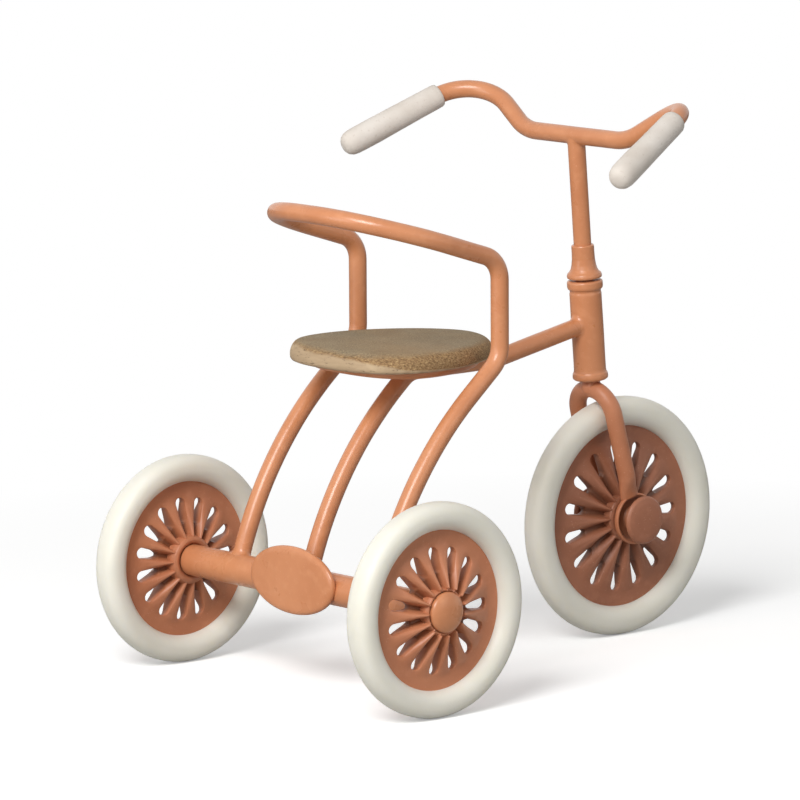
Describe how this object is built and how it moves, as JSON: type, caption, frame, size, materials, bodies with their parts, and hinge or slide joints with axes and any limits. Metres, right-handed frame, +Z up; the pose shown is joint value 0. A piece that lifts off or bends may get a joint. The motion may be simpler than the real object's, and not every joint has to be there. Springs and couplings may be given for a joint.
{
  "type": "toy tricycle",
  "caption": "Doll-size tricycle with a bent-rod frame, a wooden seat with a rod back rest, steering by a wide bar, and slotted metal wheels with soft pale tyres.",
  "frame": {"origin": "on the ground, under the middle of the overall box", "axes": "+X forward (towards the steered wheel), +Y to the rider's left, +Z up"},
  "size_m": [0.1356, 0.0904, 0.1181],
  "materials": {
    "enamel": "satin-gloss enamel, muted coral orange",
    "seat_wood": "bare grey-brown wood, fine grain",
    "plain_steel": null,
    "tyre_rubber": "soft translucent off-white rubber",
    "grip_plastic": "chalky off-white, matte"
  },
  "bodies": {
    "frame": {"rear_axle_tube": "enamel", "side_loop": "enamel", "centre_spine": "enamel", "badge_plate": "enamel", "seat_pan": "enamel", "wooden_seat": "seat_wood", "seat_screws": "plain_steel", "head_tube": "enamel", "rear_axle": "plain_steel", "rear_left_cap": "enamel", "rear_right_cap": "enamel"},
    "steering_column": {"steerer_rod": "enamel", "steering_collar": "enamel", "handlebar_stem": "enamel", "handlebar": "enamel", "left_grip": "grip_plastic", "right_grip": "grip_plastic", "fork": "enamel", "front_axle": "plain_steel", "front_left_button": "enamel", "front_right_button": "enamel"},
    "front_wheel_unit": {"front_wheel": "enamel", "front_tyre": "tyre_rubber"},
    "rear_left_wheel_unit": {"rear_left_wheel": "enamel", "rear_left_tyre": "tyre_rubber"},
    "rear_right_wheel_unit": {"rear_right_wheel": "enamel", "rear_right_tyre": "tyre_rubber"}
  },
  "joints": [
    {"name": "steering", "type": "hinge", "parent": "frame", "child": "steering_column", "pos_m": [0.034, 0, 0.0562], "axis": [-0.0785, 0, 0.9969], "continuous": true},
    {"name": "front_wheel_spin", "type": "hinge", "parent": "steering_column", "child": "front_wheel_unit", "pos_m": [0.042, 0, 0.0258], "axis": [0, 1, 0], "continuous": true},
    {"name": "rear_left_wheel_spin", "type": "hinge", "parent": "frame", "child": "rear_left_wheel_unit", "pos_m": [-0.0458, 0.0401, 0.022], "axis": [0, 1, 0], "continuous": true},
    {"name": "rear_right_wheel_spin", "type": "hinge", "parent": "frame", "child": "rear_right_wheel_unit", "pos_m": [-0.0458, -0.0401, 0.022], "axis": [0, 1, 0], "continuous": true}
  ]
}
